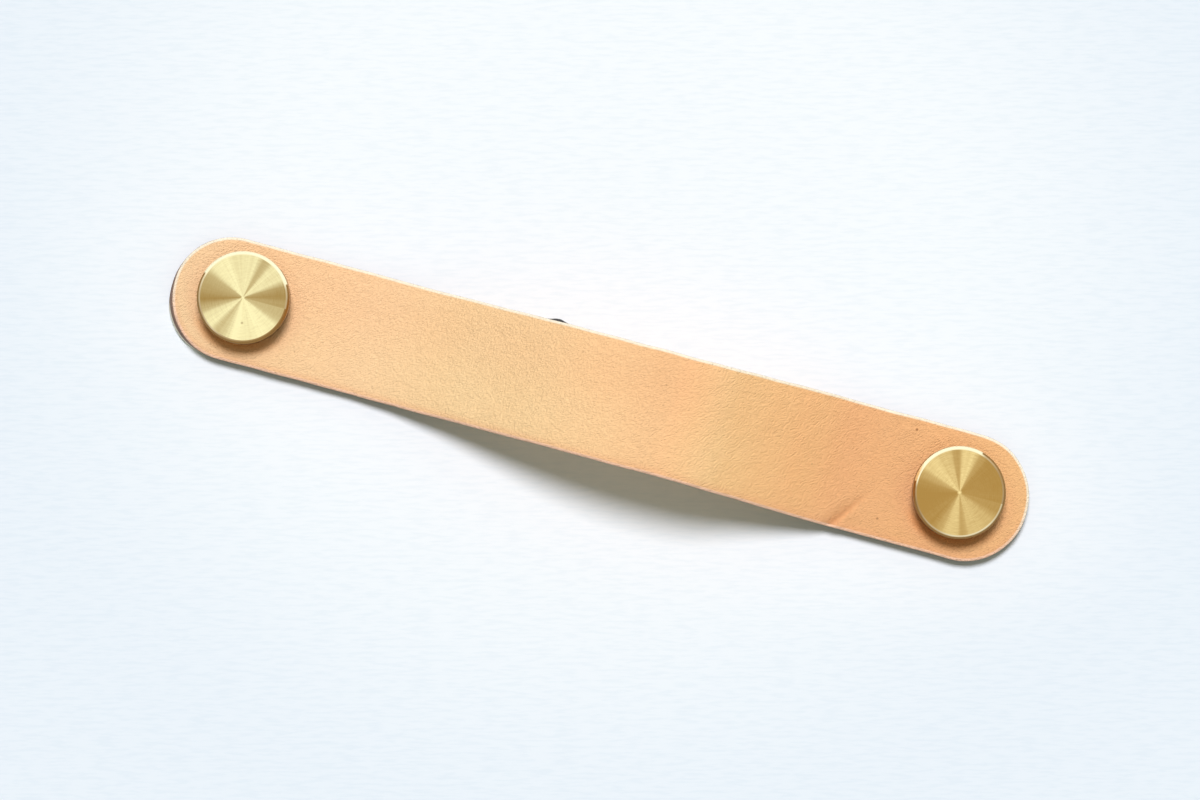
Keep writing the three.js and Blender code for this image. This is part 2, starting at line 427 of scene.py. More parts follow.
def middle_surface(u, v):
    """The strap's middle surface: the side view swept across the width, and past a line beside the
    left knob rolled up round a cylinder, x + R (sin a - a), z + R (1 - cos a), with a = d / R."""
    x, z, slope = side_view(u)
    cos, sin = math.cos(CURL_TURN), math.sin(CURL_TURN)
    past = np.maximum(0, (u + HOLE_X) * cos + v * sin - CURL_START) * (u < -HOLE_X)
    rolled = past / CURL_RADIUS
    shift = CURL_RADIUS * (np.sin(rolled) - rolled)
    return np.stack([x + cos * shift, v + sin * shift, z + CURL_RADIUS * (1 - np.cos(rolled))], -1)


def on_crease(u, v):
    """Where a point lies by the crease that runs in from the lower edge where the arch comes down:
    its distance from the crease's line, positive on the upper left side, and how much of the crease
    is left there, from 1 at the edge to 0 past its end."""
    x = side_view(u)[0]
    way = CREASE_TO - CREASE_FROM
    length = np.hypot(*way)
    way = way / length
    along = (x - CREASE_FROM[0]) * way[0] + (v - CREASE_FROM[1]) * way[1]
    across = -(x - CREASE_FROM[0]) * way[1] + (v - CREASE_FROM[1]) * way[0]
    return across, 1 - smooth(along, 0.2 * length, 1.15 * length)


def top_relief(u, v):
    """How far the grain side stands off its flat place: slow waves, edges that round off over a few
    millimetres, a lip that swells up round each knob's foot, and the crease's valley and ridge."""
    seat = from_knobs(u, v)
    free = smooth(seat, 8.0, 11.0)
    height = 0.05 * free * ripple(u, v, 22, 3) + 0.012 * free * ripple(u, v, 5, 8)
    height -= 0.15 * (1 - smooth(from_edge(u, v), 0.2, 3.2))
    height += 0.16 * smooth(seat, 7.9, 9.8) - 0.05 * (1 - smooth(seat, 7.6, 8.1))
    across, left = on_crease(u, v)
    valley = -0.5 * np.exp(-(across / np.where(across > 0, 1.2, 0.6)) ** 2)
    ridge = 0.16 * np.exp(-((across + 1.1) / 0.8) ** 2)
    return height + left * (valley + ridge)


def strap_points(u, v, n):
    """Points of the strap from the pattern's length u, width v and share n through the leather, from
    -1 at the flesh side to 1 at the grain side: the middle surface plus n half-thicknesses along its
    normal, with the relief growing in from the middle. The cut edge wanders by a few hundredths, and
    at one mark on the upper side its lower half stands proud."""
    proud = np.exp(-((side_view(u)[0] - MARK[0]) / 1.25) ** 2) * smooth(-n, -0.3, 0.5)
    rim = (from_edge(u, v) < 0.4) * (v > 0)
    v = v + 0.035 * ripple(u, v, 9, 5) * (from_edge(u, v) < 3) + 0.5 * proud * rim
    step = 0.02
    base = middle_surface(u, v)
    du = middle_surface(u + step, v) - base
    dv = middle_surface(u, v + step) - base
    normal = np.cross(du, dv)
    normal /= np.linalg.norm(normal, axis=-1, keepdims=True)
    off = n * LEATHER / 2 + np.maximum(n, 0) * top_relief(u, v)
    return base + off[..., None] * normal


def spaced(start, end, step):
    """Even places from start to end, at most a step apart."""
    return np.linspace(start, end, max(2, int(math.ceil(abs(end - start) / step)) + 1))


def end_outline(tip, joint, inset):
    """The cut outline of one end, inset by so much, from the joint's upper point round the tip to
    its lower point: straight, quarter circle, short straight, quarter circle, straight."""
    side, corner = (1.0, CORNER_RIGHT) if tip > joint else (-1.0, CORNER_LEFT)
    centre = tip - side * corner
    width, offset = cut_width_at(centre)
    radius = corner - inset
    straight = spaced(joint, centre, 0.4)[:-1]
    widths, offsets = cut_width(straight)
    high = np.stack([straight, -offsets + widths / 2 - inset], -1)
    low = np.stack([straight, -offsets - widths / 2 + inset], -1)[::-1]
    turn = np.linspace(0, np.pi / 2, 40)
    upper = np.stack([centre + side * radius * np.sin(turn),
                      -offset + width / 2 - corner + radius * np.cos(turn)], -1)
    lower = np.stack([centre + side * radius * np.cos(turn),
                      -offset - width / 2 + corner - radius * np.sin(turn)], -1)
    return np.concatenate([high, upper, lower, low])


LEFT_JOINT, RIGHT_JOINT = -52.0, RIGHT_HOLE - 12.0
FINE_FROM = 46.0  # the stations crowd from here to the right joint, for the crease
ROWS = 84
GRAIN, EDGE, FLESH = 0, 1, 2  # the strap's finishes


def joint_line(u, inset, rows):
    """Even points up the line where an end meets the middle of the strap."""
    width, offset = cut_width_at(u)
    v = np.linspace(-offset - width / 2 + inset, -offset + width / 2 - inset, rows)
    return np.stack([np.full(rows, u), v], -1)


class Surface:
    """Vertices and quads gathered from grids, each with its finish."""

    def __init__(self):
        self.points, self.quads, self.finishes, self.patterns, self.count = [], [], [], [], 0

    def grid(self, points, pattern, finish, closed=False, flip=False):
        """Adds a grid of rows and columns; closed joins its last column to its first."""
        rows, cols = points.shape[:2]
        index = self.count + np.arange(rows * cols).reshape(rows, cols)
        if closed:
            index = np.concatenate([index, index[:, :1]], 1)
        quads = np.stack([index[:-1, :-1], index[:-1, 1:], index[1:, 1:], index[1:, :-1]], -1)
        quads = quads.reshape(-1, 4)
        self.quads.append(quads[:, ::-1] if flip else quads)
        finish = np.broadcast_to(np.asarray(finish), (rows - 1,))
        self.finishes.append(np.repeat(finish, index.shape[1] - 1))
        self.points.append(points.reshape(-1, 3))
        self.patterns.append(pattern.reshape(-1, 3))
        self.count += rows * cols

    def mesh(self, name, materials):
        """The mesh object, its doubles merged, its faces turned outwards and shaded smooth."""
        mesh = bpy.data.meshes.new(name)
        points = np.concatenate(self.points) * MM
        quads = np.concatenate(self.quads)
        mesh.from_pydata(points.tolist(), [], quads.tolist())
        pattern = mesh.attributes.new("pattern", "FLOAT_VECTOR", "POINT")
        pattern.data.foreach_set("vector", np.concatenate(self.patterns).astype(np.float32).ravel())
        for material in materials:
            mesh.materials.append(material)
        mesh.polygons.foreach_set("material_index", np.concatenate(self.finishes).astype(np.int32))
        work = bmesh.new()
        work.from_mesh(mesh)
        bmesh.ops.remove_doubles(work, verts=work.verts, dist=2e-6)
        bmesh.ops.recalc_face_normals(work, faces=work.faces)
        work.to_mesh(mesh)
        work.free()
        mesh.polygons.foreach_set("use_smooth", np.ones(len(mesh.polygons), bool))
        made = bpy.data.objects.new(name, mesh)
        bpy.context.scene.collection.objects.link(made)
        return made


def long_edges(inset):
    """The lower and the upper long edge between the joints, inset, at stations along the strap."""
    stations = np.concatenate([spaced(LEFT_JOINT, FINE_FROM, 0.42)[:-1],
                               spaced(FINE_FROM, RIGHT_JOINT, 0.22)])
    lines = np.stack([joint_line(u, inset, 2) for u in stations])
    return lines[:, 0], lines[:, 1]


def whole_outline(inset):
    """The whole closed outline, inset: the left end, the lower edge, the right end, the upper."""
    lower, upper = long_edges(inset)
    return np.concatenate([end_outline(LEFT_TIP, LEFT_JOINT, inset), lower[1:-1],
                           end_outline(RIGHT_TIP, RIGHT_JOINT, inset)[::-1], upper[1:-1][::-1]])


def face_grids():
    """The pattern places of one face inside its rounded edge: a middle grid, and two end grids that
    run from a screw hole out to the outline, each with its hole's centre."""
    low, high = long_edges(BEVEL)
    middle = low + np.linspace(0, 1, ROWS)[:, None, None] * (high - low)
    ends = []
    for tip, joint, hole in ((LEFT_TIP, LEFT_JOINT, -HOLE_X), (RIGHT_TIP, RIGHT_JOINT, RIGHT_HOLE)):
        loop = np.concatenate([end_outline(tip, joint, BEVEL), joint_line(joint, BEVEL, ROWS)[1:-1]])
        centre = np.array([hole, 0.0])
        away = loop - centre
        away = away / np.linalg.norm(away, axis=1, keepdims=True)
        mouth = centre + away * (PUNCH_RADIUS + PUNCH_FLARE)
        ends.append((mouth + np.linspace(0, 1, 28)[:, None, None] * (loop - mouth), centre))
    return middle, ends


def add_leather(surface, flat, n, finish, flip=False, closed=True):
    """Adds a grid of pattern places, each at its share n through the leather."""
    u, v = flat[..., 0], flat[..., 1]
    n = np.broadcast_to(np.asarray(n, float), u.shape)
    surface.grid(strap_points(u, v, n), np.stack([u, v, n], -1), finish, closed=closed, flip=flip)


def add_rim(surface):
    """The rim round the cut edge: a quarter round from the grain side, a plain wall and a quarter
    round to the flesh side. Round the left tip its foot flares outwards, more on the lower side."""
    inner, outer = whole_outline(BEVEL), whole_outline(0.0)
    turn = np.linspace(0, np.pi / 2, 6)
    down = 1 - BEVEL / (LEATHER / 2) * (1 - np.cos(turn))
    wall = np.linspace(down[-1], -down[-1], 5)[1:-1]
    n = np.concatenate([down, wall, -down[::-1]])
    out = np.concatenate([np.sin(turn), np.ones(3), np.sin(turn)[::-1]])
    foot = np.concatenate([0 * turn, np.linspace(0, 1, 5)[1:-1], np.sin(turn)[::-1]])
    flare = (0.35 + 0.25 * smooth(-outer[:, 1], 2.0, 5.0)) * smooth(-outer[:, 0], 69.0, 73.0)
    share = out[:, None] + foot[:, None] * flare
    flat = inner + share[..., None] * (outer - inner)
    finish = np.where(np.arange(len(n) - 1) < 4, GRAIN, EDGE)
    add_leather(surface, flat, n[:, None], finish)


def add_punched_wall(surface, mouth, centre):
    """The wall of a screw hole, straight but for its two flared mouths."""
    away = mouth - centre
    away = away / np.linalg.norm(away, axis=1, keepdims=True)
    wide = PUNCH_RADIUS + PUNCH_FLARE
    radius = np.array([wide, PUNCH_RADIUS, PUNCH_RADIUS, PUNCH_RADIUS, wide])
    n = np.array([1, 0.9, 0, -0.9, -1])
    add_leather(surface, centre + radius[:, None, None] * away, n[:, None], EDGE)


def write_places(strap):
    """Writes what the leather's colours follow onto the mesh's points: how far they lie from the cut
    edge and from the nearer knob, the arch's slope, and the crease's painted shade, strongest on its
    line and fading past its end."""
    pattern = np.zeros(len(strap.data.vertices) * 3, np.float32)
    strap.data.attributes["pattern"].data.foreach_get("vector", pattern)
    u, v = pattern.reshape(-1, 3)[:, :2].T.astype(float)
    across, left = on_crease(u, v)
    for name, values in (("edge_distance", from_edge(u, v)), ("knob_distance", from_knobs(u, v)),
                         ("slope", side_view(u)[2]), ("crease_shade", left * np.exp(-(across / 0.5) ** 2))):
        made = strap.data.attributes.new(name, "FLOAT", "POINT")
        made.data.foreach_set("value", values.astype(np.float32))


def make_strap(finishes):
    """The strap: its grain and flesh faces, the rim round its cut edge and its two punched walls."""
    surface = Surface()
    middle, ends = face_grids()
    for n, finish in ((1, GRAIN), (-1, FLESH)):
        add_leather(surface, middle, n, finish, flip=n < 0, closed=False)
        for sheet, _ in ends:
            add_leather(surface, sheet, n, finish, flip=n < 0)
    add_rim(surface)
    for sheet, centre in ends:
        add_punched_wall(surface, sheet[0], centre)
    strap = surface.mesh("strap", finishes)
    write_places(strap)
    return strap


# Knobs and screws

def lathe(surface, profile, centre, base, segments, finish=0):
    """Turns a profile of radius and height about an upright axis at centre and height base. Points on
    the axis close to a pole."""
    turn = np.linspace(0, 2 * np.pi, segments, endpoint=False)
    radius, height = np.array(profile, float).T
    x = centre + radius[:, None] * np.cos(turn)
    y = radius[:, None] * np.sin(turn)
    z = base + height[:, None] + 0 * turn
    points = np.stack([x, y, z], -1)
    surface.grid(points, np.stack([radius[:, None] + 0 * turn, turn + 0 * x, z], -1), finish,
                 closed=True)


def rounded(start, corner, end, radius, steps=5):
    """A corner of a profile taken off by a curve between two points a radius away from it."""
    start, corner, end = (np.array(p, float) for p in (start, corner, end))
    first = corner + radius * (start - corner) / np.linalg.norm(start - corner)
    last = corner + radius * (end - corner) / np.linalg.norm(end - corner)
    t = np.linspace(0, 1, steps)[:, None]
    return ((1 - t) ** 2 * first + 2 * t * (1 - t) * corner + t ** 2 * last).tolist()


def make_knob(name, x, material):
    """A turned knob: a blind bore, a flat face with the faint rings of the facing cut, a chamfer with
    crisp corners and a plain wall. The rings are a ripple of a micrometre or two in the profile."""
    surface = Surface()
    rim = KNOB_RADIUS - KNOB_CHAMFER
    shoulder, chamfer_foot = [rim, KNOB_HEIGHT], [KNOB_RADIUS, KNOB_HEIGHT - KNOB_CHAMFER]
    face = np.linspace(rim - 0.06, 0.05, 150)
    rings = 0.0016 * np.sin(2 * np.pi * face / 0.31) * (0.6 + 0.4 * np.sin(face * 2.3))
    profile = [[POLE, BORE_DEPTH], [BORE_RADIUS - 0.05, BORE_DEPTH], [BORE_RADIUS, BORE_DEPTH - 0.05],
               [BORE_RADIUS, BORE_MOUTH_DEPTH], [BORE_RADIUS + BORE_MOUTH, 0.0]]
    profile += rounded([BORE_RADIUS, 0], [KNOB_RADIUS, 0], [KNOB_RADIUS, KNOB_HEIGHT], KNOB_FOOT)
    profile += [[KNOB_RADIUS, h] for h in np.linspace(0.6, chamfer_foot[1] - 0.3, 12)]
    profile += rounded([KNOB_RADIUS, 1], chamfer_foot, shoulder, KNOB_ARRIS, 4)
    profile += rounded(chamfer_foot, shoulder, [0, KNOB_HEIGHT], KNOB_ARRIS, 4)
    profile += [[r, KNOB_HEIGHT + h] for r, h in zip(face, rings)]
    profile += [[POLE, KNOB_HEIGHT]]
    lathe(surface, profile, x, LEATHER, 160)
    return surface.mesh(name, [material])


def make_screw(name, x, material):
    """A pan head screw: a crowned head with a tapered cross recess sunk in its polar grid, and a shank
    whose radius falls and rises as a triangle wave of the height less the turn times the pitch."""
    surface = Surface()
    add_head(surface, x)
    add_shank(surface, x)
    return surface.mesh(name, [material])


def add_head(surface, x):
    """The head: its crown, an ellipse's quarter turned about the axis, with the cross sunk into it,
    and its bearing face."""
    turn = np.linspace(0, 2 * np.pi, 128, endpoint=False)
    radius = np.concatenate([np.linspace(POLE, 3.0, 44), np.linspace(3.0, HEAD_RADIUS, 16)[1:]])
    r, a = np.meshgrid(radius, turn, indexing="ij")
    across, along = np.abs(r * np.cos(a)), np.abs(r * np.sin(a))

    def wing(far, near):
        """How deep one pair of wings reaches: sloped at its ends, steep at its sides."""
        ends = (RECESS_SPAN / 2 - far) / RECESS_END_TAPER
        sides = (RECESS_WING / 2 - near) / RECESS_SIDE_TAPER
        return np.clip(np.minimum(ends, sides), 0, 1)

    crown = -HEAD_HEIGHT + HEAD_CROWN * (1 - np.sqrt(1 - np.minimum(1, r / HEAD_RADIUS) ** 2))
    sunk = RECESS_DEPTH * np.maximum(wing(across, along), wing(along, across))
    points = np.stack([x + r * np.cos(a), r * np.sin(a), -FRONT + crown + sunk], -1)
    surface.grid(points, np.stack([r, a, points[..., 2]], -1), 0, closed=True)
    crown_edge = [HEAD_RADIUS, -HEAD_HEIGHT + HEAD_CROWN]
    profile = [crown_edge] + rounded(crown_edge, [HEAD_RADIUS, 0], [0, 0], HEAD_ROUND)
    lathe(surface, profile + [[THREAD_RADIUS + SHANK_FILLET, 0]], x, -FRONT, 128)


def add_shank(surface, x):
    """The threaded shank, up from the head's bearing face, and its flat end."""
    shank = FRONT + LEATHER + THREAD_ENGAGEMENT
    turn = np.linspace(0, 2 * np.pi, 48, endpoint=False)
    h, a = np.meshgrid(np.linspace(0.0, shank, 430), turn, indexing="ij")
    phase = h / THREAD_PITCH - a / (2 * np.pi)
    tooth = np.clip(1.25 * np.abs(2 * (phase - np.floor(phase)) - 1) - 0.1, 0, 1)
    depth = THREAD_DEPTH * tooth * smooth(h, 0.5, 1.4)
    tip = np.maximum(0, h - (shank - TIP_CHAMFER))
    wide = np.minimum(THREAD_RADIUS - depth, THREAD_RADIUS - tip)
    wide[0] = THREAD_RADIUS + SHANK_FILLET
    points = np.stack([x + wide * np.cos(a), wide * np.sin(a), -FRONT + h], -1)
    surface.grid(points, np.stack([wide, a, points[..., 2]], -1), 0, closed=True)
    inner = np.linspace(1, 0.00005, 3)[:, None] * wide[-1]
    cap = np.stack([x + inner * np.cos(turn), inner * np.sin(turn), 0 * inner * turn - FRONT + shank],
                   -1)
    surface.grid(cap, cap * 0, 0, closed=True)


# Leather

def pattern_place(x, y=0.0):
    """A place read off the photograph, put on the leather's pattern."""
    table = np.linspace(LEFT_TIP, RIGHT_TIP, 4000)
    return float(np.interp(x, side_view(table)[0], table)), y, 0.0


# The tan along the strap, redder towards the right. The darker stops from 36 to 50 mm are partly a
# redder patch of the leather and partly painted shade that offsets the brighter light where the arch
# comes down flat.
TONES = [  # place along the strap in mm, colour
    (-76, "ffd7a6"), (-58, "ffd19f"), (-42, "fdd1a0"), (-25, "ffcf9b"), (-10, "ffcd98"),
    (2, "facb96"), (10, "f9c792"), (17, "fec38d"), (24, "ffbe86"), (30, "f2bb83"), (36, "ebb780"),
    (43, "ebb37f"), (50, "efb882"), (58, "f3bb83"), (76, "f5c287"),
]
SPECKS = [  # place in mm, radius, strength
    (54.3, 8.6, 0.34, 0.7),
    (51.7, -8.0, 0.3, 0.55),
    (10.3, 4.4, 0.24, 0.3),
    (37.3, -1.9, 0.2, 0.35),
    (-53.2, -6.7, 0.22, 0.25),
]
GRAIN_TURN, GRAIN_DRAWN, GRAIN_SIZE = math.radians(46), 2.2, 0.205


def leather_tone(tree, parts, flat):
    """Natural tan that turns redder towards the right, paler along the lower side except at the right,
    and painted lighter where the leather slopes, as painted light that offsets the shade on the
    arch's flanks, with faint slow patches."""
    length = RIGHT_TIP - LEFT_TIP
    along = math_of(tree, "DIVIDE", math_of(tree, "SUBTRACT", parts["X"], LEFT_TIP), length)
    stops = [((pattern_place(x)[0] - LEFT_TIP) / length, colour(code)) for x, code in TONES]
    base = ramp_of(tree, along, stops)
    lower = times(tree, step_of(tree, parts["Y"], 5.0, -6.5), step_of(tree, parts["X"], 44.0, 12.0))
    base = mixed(tree, lower, base, (1.015, 1.06, 1.07, 1.0), "MULTIPLY")
    slow = placed(tree, mottle, {"Vector": flat, "Size": 9.0, "Contrast": 1.0,
                                 "First": (1.0, 0.992, 0.98, 1.0),
                                 "Second": (1.0, 1.004, 1.008, 1.0)})["Color"]
    base = mixed(tree, 1.0, base, slow, "MULTIPLY")
    # Painted light: the base is made lighter where the leather slopes, more on the right flank, to
    # offset the flanks' shade.
    slope = attribute(tree, "slope")
    slope_light = math_of(tree, "MAXIMUM", times(tree, slope, 0.15), times(tree, slope, -0.3))
    slope_lit_base = vector_of(tree, "SCALE", {0: base, "Scale": math_of(tree, "ADD", slope_light, 1.0)})
    return vector_of(tree, "MINIMUM", {0: slope_lit_base, 1: (0.99, 0.99, 0.99)})


def painted_shade_and_wear(tree, base, parts, edge):
    """Painted shade: redder, darker leather along the lower edge, which faces away from the light; a
    darker tone round the knobs' lower sides, partly painted shade and partly handled leather; and a
    warm painted shadow at each knob's lower side."""
    # Painted shade along the lower edge, which faces away from the light.
    lower_edge_shade = times(tree, step_of(tree, edge, 1.8, 0.4), step_of(tree, parts["Y"], 2.0, -6.0))
    base = toned(tree, base, lower_edge_shade, 0.35, "eaa87c")
    seat = attribute(tree, "knob_distance")
    # Darker tone round the knobs' lower sides: partly painted shade from the knobs, partly handled
    # leather.
    knob_shade_and_wear = times(tree, step_of(tree, seat, 12.5, 8.0), step_of(tree, parts["Y"], 7.0, -4.0))
    base = toned(tree, base, knob_shade_and_wear, 0.3, "dd9a76")
    # Painted shadow: a warm, darker ring under each knob that stands in for its shadow and the warm
    # light bounced into it.
    knob_shadow_ring = times(tree, step_of(tree, seat, 10.4, 8.0), step_of(tree, parts["Y"], -3.5, -8.5))
    return mixed(tree, knob_shadow_ring, base, (1.06, 0.74, 0.46, 1.0), "MULTIPLY")


def make_grain():
    """The grain side: the tan with painted shade along its lower edge and by the knobs, fine slanting
    pebbles darker in their hollows, partly as painted shade, a few specks, a crease darkened with
    painted shade, and a pale line round the rounded edge, painted brighter on its upper side as a
    highlight."""
    material, tree, shader = new_material("leather_grain", "f3c793")
    parts = parts_of(tree, attribute(tree, "pattern", "Vector"))
    flat = add(tree, "ShaderNodeCombineXYZ", {"X": parts["X"], "Y": parts["Y"]}).outputs[0]
    edge = attribute(tree, "edge_distance")
    base = painted_shade_and_wear(tree, leather_tone(tree, parts, flat), parts, edge)
    slanted = add(tree, "ShaderNodeMapping",
                  {"Vector": flat, "Rotation": (0, 0, GRAIN_TURN), "Scale": (GRAIN_DRAWN, 1.0, 1.0)},
                  vector_type="TEXTURE").outputs[0]
    grain = placed(tree, pebble, {"Vector": slanted, "Size": GRAIN_SIZE, "Breakup": 0.45})
    # Darker in the grain's hollows: partly deeper colour, partly painted shade.
    base = toned(tree, base, step_of(tree, grain["Height"], 0.62, 0.36), 0.07, "cf8d55")
    base = toned(tree, base, grain["Pores"], 0.03, "b97c48")
    # Painted shade in the crease's valley.
    base = toned(tree, base, attribute(tree, "crease_shade"), 0.5, "a86c40")
    for x, y, radius, strength in SPECKS:
        spot = placed(tree, speck, {"Vector": flat, "Centre": pattern_place(x, y), "Radius": radius})
        base = toned(tree, base, spot["Mask"], strength, "7d4a26")
    # Pale bevel line round the edge, painted brighter on its upper side as a highlight and pinker on
    # its lower side.
    pale = mixed(tree, step_of(tree, parts["Y"], -9.0, 3.0), colour("fdd0b0"), colour("fff3d8"))
    base = mixed(tree, step_of(tree, edge, 0.6, 0.3), base, pale)
    dents = placed(tree, mottle, {"Vector": flat, "Size": 2.6, "Contrast": 1.0})["Mask"]
    heights = math_of(tree, "MULTIPLY_ADD", dents, 0.3, grain["Height"])
    rough = math_of(tree, "MULTIPLY_ADD", grain["Height"], -0.12, 0.66)
    surfaced(tree, shader, base, rough, heights, 0.33)
    shader.inputs["Specular IOR Level"].default_value = 0.35
    return material


def make_cut_edge():
    """The cut edge: brown burnished fibres that run along the strap, with painted shade on its lower
    half below its rim and a painted highlight at the foot of the left end's lower corner, with one
    black mark on the upper side."""
    material, tree, shader = new_material("leather_cut_edge", "8f6b4c")
    where = attribute(tree, "pattern", "Vector")
    parts = parts_of(tree, where)
    strands = placed(tree, fibres, {"Vector": where, "Stretch": (1.0, 1.0, 9.0), "Size": 1.4})
    base = mixed(tree, strands["Mask"], colour("7d5741"), colour("a67b5e"))
    # Painted shade on the lower half of the cut edge.
    base = toned(tree, base, step_of(tree, parts["Z"], 0.7, 0.1), 0.5, "3a2c1e")
    # Painted highlight at the foot of the left end's lower corner.
    foot = times(tree, step_of(tree, parts["Z"], -0.1, -0.5), step_of(tree, parts["Y"], -3.0, -5.5))
    base = toned(tree, base, foot, step_of(tree, parts["X"], -67.0, -71.0), "f2ead4")
    flat = add(tree, "ShaderNodeCombineXYZ", {"X": parts["X"], "Y": parts["Y"]}).outputs[0]
    mark = placed(tree, speck, {"Vector": flat, "Centre": pattern_place(*MARK), "Radius": 2.9})
    base = mixed(tree, mark["Mask"], base, colour("1c1612"))
    rough = math_of(tree, "MULTIPLY_ADD", strands["Height"], 0.3, 0.42)
    surfaced(tree, shader, base, rough, strands["Height"], 0.12, 0.8)
    shader.inputs["Specular IOR Level"].default_value = 0.4
    return material


def make_flesh():
    """The flesh side: matt, napped and a little paler, with loose fibres."""
    material, tree, shader = new_material("leather_flesh", "d9b187")
    where = attribute(tree, "pattern", "Vector")
    cloud = placed(tree, mottle, {"Vector": where, "Size": 7.0, "Contrast": 0.9,
                                  "First": colour("cfa478"), "Second": colour("e6c29a")})["Color"]
    nap = placed(tree, fibres, {"Vector": where, "Stretch": (0.7, 1.6, 1.0), "Size": 0.7})
    base = toned(tree, cloud, nap["Mask"], 0.35, "f0d4b0")
    rough = math_of(tree, "MULTIPLY_ADD", nap["Height"], 0.15, 0.82)
    surfaced(tree, shader, base, rough, nap["Height"], 0.22, 0.9)
    shader.inputs["Specular IOR Level"].default_value = 0.2
    return material


# Metal

STAIN = (1.0, -4.28, LEATHER + KNOB_HEIGHT)  # a small stain on the left knob's face


def brass_face_reflections(tree, round_axis, marks, sectors, bright, dark, rings_seen):
    """The knob's face: painted reflection fans, lighter and darker, that meet in a painted bright
    middle, their edges frayed by the rays, a little darker towards the rim, with rings that show most
    where the painted reflection is bright."""
    radius = round_axis["Radius"]
    rays = math_of(tree, "SUBTRACT", marks["Rays"], 0.5)
    # Painted reflection: the fans of light and dark that a turned face shows.
    reflection_fans = ramp_of(tree, math_of(tree, "MULTIPLY_ADD", rays, 0.012, round_axis["Angle"]), sectors)
    keen = math_of(tree, "MULTIPLY_ADD", reflection_fans, 0.35, 0.1)
    level = math_of(tree, "ADD", reflection_fans, times(tree, rays, keen))
    rings = times(tree, math_of(tree, "SUBTRACT", marks["Rings"], 0.5),
                  math_of(tree, "MULTIPLY_ADD", reflection_fans, rings_seen, 0.12))
    level = math_of(tree, "ADD", level, rings)
    away = times(tree, step_of(tree, radius, 1.0, 8.0), 0.04)
    level = math_of(tree, "SUBTRACT", level, away, clamp=True)
    level = math_of(tree, "MAXIMUM", level, step_of(tree, radius, 0.55, 0.05))
    return mixed(tree, level, colour(dark), colour(bright))


def brass_chamfer_highlight(tree, round_axis, rim):
    """The knob's chamfer: a painted highlight where rim says so, and painted brown reflection at its
    outer side elsewhere.
    """
    # Painted highlight on the chamfer by angle, and painted brown reflection at its outer side.
    lit = ramp_of(tree, round_axis["Angle"], rim)
    base = mixed(tree, lit, colour("9f7b48"), colour("fff6d0"))
    outer = step_of(tree, round_axis["Radius"], KNOB_RADIUS - 0.38, KNOB_RADIUS - 0.26)
    return toned(tree, base, outer, step_of(tree, lit, 0.95, 0.8), "9c7644")


def make_brass(name, x, sectors, rim, bright, dark, rings_seen):
    """Turned brass: a face of painted reflection fans and rings, a chamfer with a painted highlight on
    one side, and a wall painted brown as the reflection of the leather round it. sectors and rim are
    lists of angle, from 0 to 1 anticlockwise from +X, and brightness, for the face's painted
    reflection and for the chamfer's painted highlight; rings_seen says how plain the rings are where
    the painted reflection is bright."""
    material, tree, shader = new_material(name, bright)
    place = object_mm(tree, x)
    round_axis = placed(tree, polar, {"Vector": place})
    marks = placed(tree, turning, {"Angle": round_axis["Angle"], "Radius": round_axis["Radius"],
                                   "Pitch": 0.14})
    base = brass_face_reflections(tree, round_axis, marks, sectors, bright, dark, rings_seen)
    if x < 0:
        stain = placed(tree, speck, {"Vector": place, "Centre": STAIN, "Radius": 0.3})
        base = toned(tree, base, stain["Mask"], 0.5, "8d6c3c")
    on_face = step_of(tree, round_axis["Radius"], KNOB_RADIUS - KNOB_CHAMFER - 0.14,
                      KNOB_RADIUS - KNOB_CHAMFER - 0.22)
    base = mixed(tree, on_face, brass_chamfer_highlight(tree, round_axis, rim), base)
    # The wall is painted brown as the reflection of the leather round it.
    foot = LEATHER + KNOB_HEIGHT - KNOB_CHAMFER
    wall = step_of(tree, parts_of(tree, place)["Z"], foot, foot - 0.06)
    base = mixed(tree, wall, base, colour("866a34"))
    rough = math_of(tree, "MULTIPLY_ADD", marks["Rings"], 0.12, 0.24)
    surfaced(tree, shader, base, rough, times(tree, marks["Rings"], on_face), 0.004)
    shader.inputs["Metallic"].default_value = 1.0
    return material


def make_steel():
    """Zinc-plated steel: a cool grey with soft clouds and fine marks drawn round the screw."""
    material, tree, shader = new_material("plated_steel", "b9bdc2")
    place = object_mm(tree)
    base = placed(tree, mottle, {"Vector": place, "Size": 2.2, "Contrast": 1.0,
                                 "First": colour("a3a8ae"), "Second": colour("ced1d3")})["Color"]
    grain = placed(tree, fibres, {"Vector": place, "Stretch": (1.0, 1.0, 6.0), "Size": 1.1})
    base = toned(tree, base, grain["Mask"], 0.2, "8a8d90")
    rough = math_of(tree, "MULTIPLY_ADD", grain["Height"], 0.25, 0.2)
    surfaced(tree, shader, base, rough, grain["Height"], 0.01, 0.6)
    shader.inputs["Metallic"].default_value = 1.0
    return material


# The pieces

def stops_round(reflection_fans):
    """Fans given as clockwise degrees in the photograph and a brightness, as grey stops round +X."""
    stops = []
    for degrees, level in reflection_fans:
        turn = (-degrees + math.degrees(PHOTO_TURN)) / 360
        stops.append((turn % 1.0, (level, level, level, 1.0)))
    return sorted(stops)


